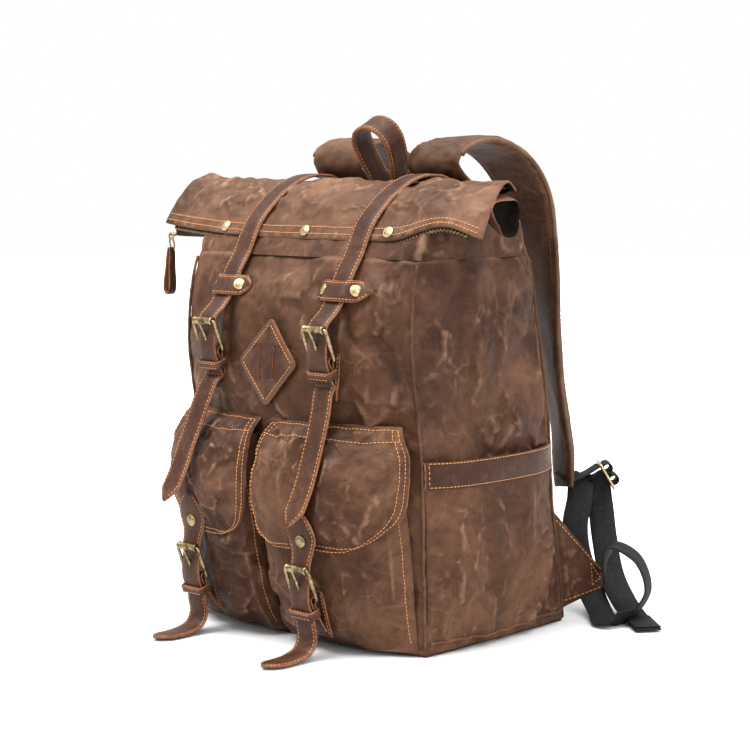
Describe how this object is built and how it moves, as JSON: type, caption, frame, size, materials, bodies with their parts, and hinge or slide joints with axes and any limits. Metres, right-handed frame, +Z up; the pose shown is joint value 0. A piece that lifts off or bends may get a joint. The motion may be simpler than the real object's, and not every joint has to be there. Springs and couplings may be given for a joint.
{
  "type": "roll-top backpack",
  "caption": "Waxed-canvas backpack with a roll-top, buckled leather closure straps, bellows front pockets, padded shoulder straps and webbing adjusters.",
  "frame": {"origin": "centre of the underside of the base", "axes": "+Z up, the pockets face -Y, +X to the right of someone who faces the pockets"},
  "size_m": [0.5164, 0.4522, 0.4842],
  "materials": {
    "canvas": "waxed canvas",
    "lining": "woven",
    "leather": "oiled, satin",
    "webbing": "ribbed nylon webbing",
    "brass": "antique",
    "board": "matte"
  },
  "bodies": {
    "bag": {"base_panel": "canvas", "bottom_board": "board", "front_panel": "canvas", "back_panel": "canvas", "collar_front": "lining", "collar_rear": "canvas", "lash_tab": "leather", "side_panel_left": "canvas", "side_pocket_left": "canvas", "side_band_left": "leather", "pocket_left": "canvas", "closure_strap_rear_left": "leather", "shoulder_strap_top_left": "canvas", "lower_anchor_left": "leather", "side_panel_right": "canvas", "side_pocket_right": "canvas", "side_band_right": "leather", "pocket_right": "canvas", "closure_strap_rear_right": "leather", "shoulder_strap_top_right": "canvas", "lower_anchor_right": "leather"},
    "roll_top": {"roll_flap": "canvas", "zip_chain": "brass"},
    "zip_slider": {"zip_slider": "brass"},
    "zip_pull": {"zip_pull": "leather"},
    "grab_handle": {"grab_handle": "leather"},
    "rear_zip_slider": {"rear_zip_slider": "brass"},
    "rear_zip_pull": {"rear_zip_pull": "brass"},
    "closure_left": {"closure_strap_front_left": "leather", "strap_keeper_left": "leather", "closure_chape_left": "leather"},
    "closure_tail_left": {"closure_strap_tail_left": "leather"},
    "closure_frame_left": {"closure_buckle_frame_left": "brass"},
    "closure_roller_left": {"closure_buckle_roller_left": "brass"},
    "closure_tongue_left": {"closure_buckle_tongue_left": "brass"},
    "pocket_lid_left": {"pocket_flap_left": "canvas", "pocket_strap_left": "leather", "pocket_chape_left": "leather"},
    "pocket_frame_left": {"pocket_buckle_frame_left": "brass"},
    "pocket_roller_left": {"pocket_buckle_roller_left": "brass"},
    "pocket_tongue_left": {"pocket_buckle_tongue_left": "brass"},
    "shoulder_left": {"shoulder_strap_left": "canvas", "webbing_left": "webbing"},
    "slide_left": {"strap_slider_left": "brass"},
    "closure_right": {"closure_strap_front_right": "leather", "strap_keeper_right": "leather", "closure_chape_right": "leather"},
    "closure_tail_right": {"closure_strap_tail_right": "leather"},
    "closure_frame_right": {"closure_buckle_frame_right": "brass"},
    "closure_roller_right": {"closure_buckle_roller_right": "brass"},
    "closure_tongue_right": {"closure_buckle_tongue_right": "brass"},
    "pocket_lid_right": {"pocket_flap_right": "canvas", "pocket_strap_right": "leather", "pocket_chape_right": "leather"},
    "pocket_frame_right": {"pocket_buckle_frame_right": "brass"},
    "pocket_roller_right": {"pocket_buckle_roller_right": "brass"},
    "pocket_tongue_right": {"pocket_buckle_tongue_right": "brass"},
    "shoulder_right": {"shoulder_strap_right": "canvas", "webbing_right": "webbing"},
    "slide_right": {"strap_slider_right": "brass"}
  },
  "joints": [
    {"name": "roll_top_fold", "type": "hinge", "parent": "bag", "child": "roll_top", "pos_m": [0, -0.012, 0.421], "axis": [-1, 0, 0], "range_deg": [0, 75]},
    {"name": "zip_slider_slide", "type": "slide", "parent": "roll_top", "child": "zip_slider", "axis": [1, 0, 0], "range_m": [0, 0.035]},
    {"name": "zip_pull_swing", "type": "hinge", "parent": "zip_slider", "child": "zip_pull", "pos_m": [-0.188, -0.1, 0.3452], "axis": [-1, 0, 0], "range_deg": [-30, 45]},
    {"name": "grab_handle_swing", "type": "hinge", "parent": "bag", "child": "grab_handle", "pos_m": [0, 0.049, 0.376], "axis": [-1, 0, 0], "range_deg": [0, 60]},
    {"name": "rear_zip_slide", "type": "slide", "parent": "bag", "child": "rear_zip_slider", "axis": [0, -0.1, 0.995], "range_m": [0, 0.1]},
    {"name": "rear_zip_pull_swing", "type": "hinge", "parent": "rear_zip_slider", "child": "rear_zip_pull", "pos_m": [0.128, 0.0868, 0.1375], "axis": [1, 0, 0], "range_deg": [0, 60]},
    {"name": "closure_strap_lift_left", "type": "hinge", "parent": "bag", "child": "closure_left", "pos_m": [-0.0725, -0.012, 0.421], "axis": [-1, 0, 0], "range_deg": [0, 75]},
    {"name": "closure_tail_lift_left", "type": "hinge", "parent": "closure_left", "child": "closure_tail_left", "pos_m": [-0.0725, -0.1508, 0.24175], "axis": [-1, 0, 0], "range_deg": [0, 85]},
    {"name": "closure_frame_tilt_left", "type": "hinge", "parent": "closure_left", "child": "closure_frame_left", "pos_m": [-0.0725, -0.15101, 0.26208], "axis": [1, 0, 0], "range_deg": [0, 5]},
    {"name": "closure_roller_turn_left", "type": "hinge", "parent": "closure_frame_left", "child": "closure_roller_left", "pos_m": [-0.0725, -0.162, 0.29], "axis": [1, 0, 0], "continuous": true},
    {"name": "closure_tongue_lift_left", "type": "hinge", "parent": "closure_frame_left", "child": "closure_tongue_left", "pos_m": [-0.0725, -0.15101, 0.26208], "axis": [1, 0, 0], "range_deg": [0, 15]},
    {"name": "pocket_lid_lift_left", "type": "hinge", "parent": "bag", "child": "pocket_lid_left", "pos_m": [-0.073, -0.1415, 0.2075], "axis": [-0.962, 0.273, 0], "range_deg": [0, 85]},
    {"name": "pocket_frame_tilt_left", "type": "hinge", "parent": "pocket_lid_left", "child": "pocket_frame_left", "pos_m": [-0.0725, -0.17357, 0.05387], "axis": [1, 0, 0], "range_deg": [0, 5]},
    {"name": "pocket_roller_turn_left", "type": "hinge", "parent": "pocket_frame_left", "child": "pocket_roller_left", "pos_m": [-0.0725, -0.184, 0.082], "axis": [1, 0, 0], "continuous": true},
    {"name": "pocket_tongue_lift_left", "type": "hinge", "parent": "pocket_frame_left", "child": "pocket_tongue_left", "pos_m": [-0.0725, -0.17357, 0.05387], "axis": [1, 0, 0], "range_deg": [0, 15]},
    {"name": "shoulder_swing_left", "type": "hinge", "parent": "bag", "child": "shoulder_left", "pos_m": [-0.075, 0.0035, 0.432], "axis": [-0.2071, 0.3048, -0.9296], "range_deg": [-3, 12]},
    {"name": "strap_slide_left", "type": "slide", "parent": "shoulder_left", "child": "slide_left", "axis": [-0.3615, 0.3515, -0.8636], "range_m": [-0.01, 0.01]},
    {"name": "closure_strap_lift_right", "type": "hinge", "parent": "bag", "child": "closure_right", "pos_m": [0.0725, -0.012, 0.421], "axis": [-1, 0, 0], "range_deg": [0, 75]},
    {"name": "closure_tail_lift_right", "type": "hinge", "parent": "closure_right", "child": "closure_tail_right", "pos_m": [0.0725, -0.1508, 0.24175], "axis": [-1, 0, 0], "range_deg": [0, 85]},
    {"name": "closure_frame_tilt_right", "type": "hinge", "parent": "closure_right", "child": "closure_frame_right", "pos_m": [0.0725, -0.15101, 0.26208], "axis": [1, 0, 0], "range_deg": [0, 5]},
    {"name": "closure_roller_turn_right", "type": "hinge", "parent": "closure_frame_right", "child": "closure_roller_right", "pos_m": [0.0725, -0.162, 0.29], "axis": [1, 0, 0], "continuous": true},
    {"name": "closure_tongue_lift_right", "type": "hinge", "parent": "closure_frame_right", "child": "closure_tongue_right", "pos_m": [0.0725, -0.15101, 0.26208], "axis": [1, 0, 0], "range_deg": [0, 15]},
    {"name": "pocket_lid_lift_right", "type": "hinge", "parent": "bag", "child": "pocket_lid_right", "pos_m": [0.073, -0.1415, 0.2075], "axis": [-0.962, -0.273, 0], "range_deg": [0, 85]},
    {"name": "pocket_frame_tilt_right", "type": "hinge", "parent": "pocket_lid_right", "child": "pocket_frame_right", "pos_m": [0.0725, -0.17357, 0.05387], "axis": [1, 0, 0], "range_deg": [0, 5]},
    {"name": "pocket_roller_turn_right", "type": "hinge", "parent": "pocket_frame_right", "child": "pocket_roller_right", "pos_m": [0.0725, -0.184, 0.082], "axis": [1, 0, 0], "continuous": true},
    {"name": "pocket_tongue_lift_right", "type": "hinge", "parent": "pocket_frame_right", "child": "pocket_tongue_right", "pos_m": [0.0725, -0.17357, 0.05387], "axis": [1, 0, 0], "range_deg": [0, 15]},
    {"name": "shoulder_swing_right", "type": "hinge", "parent": "bag", "child": "shoulder_right", "pos_m": [0.075, 0.0035, 0.432], "axis": [0.2071, 0.3048, -0.9296], "range_deg": [-12, 3]},
    {"name": "strap_slide_right", "type": "slide", "parent": "shoulder_right", "child": "slide_right", "axis": [0.3615, 0.3515, -0.8636], "range_m": [-0.01, 0.01]}
  ],
  "couplings": [
    {"joint": "closure_strap_lift_left", "follows": "roll_top_fold", "ratio": 1},
    {"joint": "closure_strap_lift_right", "follows": "roll_top_fold", "ratio": 1},
    {"joint": "closure_tail_lift_left", "follows": "pocket_lid_lift_left", "ratio": 1},
    {"joint": "closure_tail_lift_right", "follows": "pocket_lid_lift_right", "ratio": 1}
  ]
}
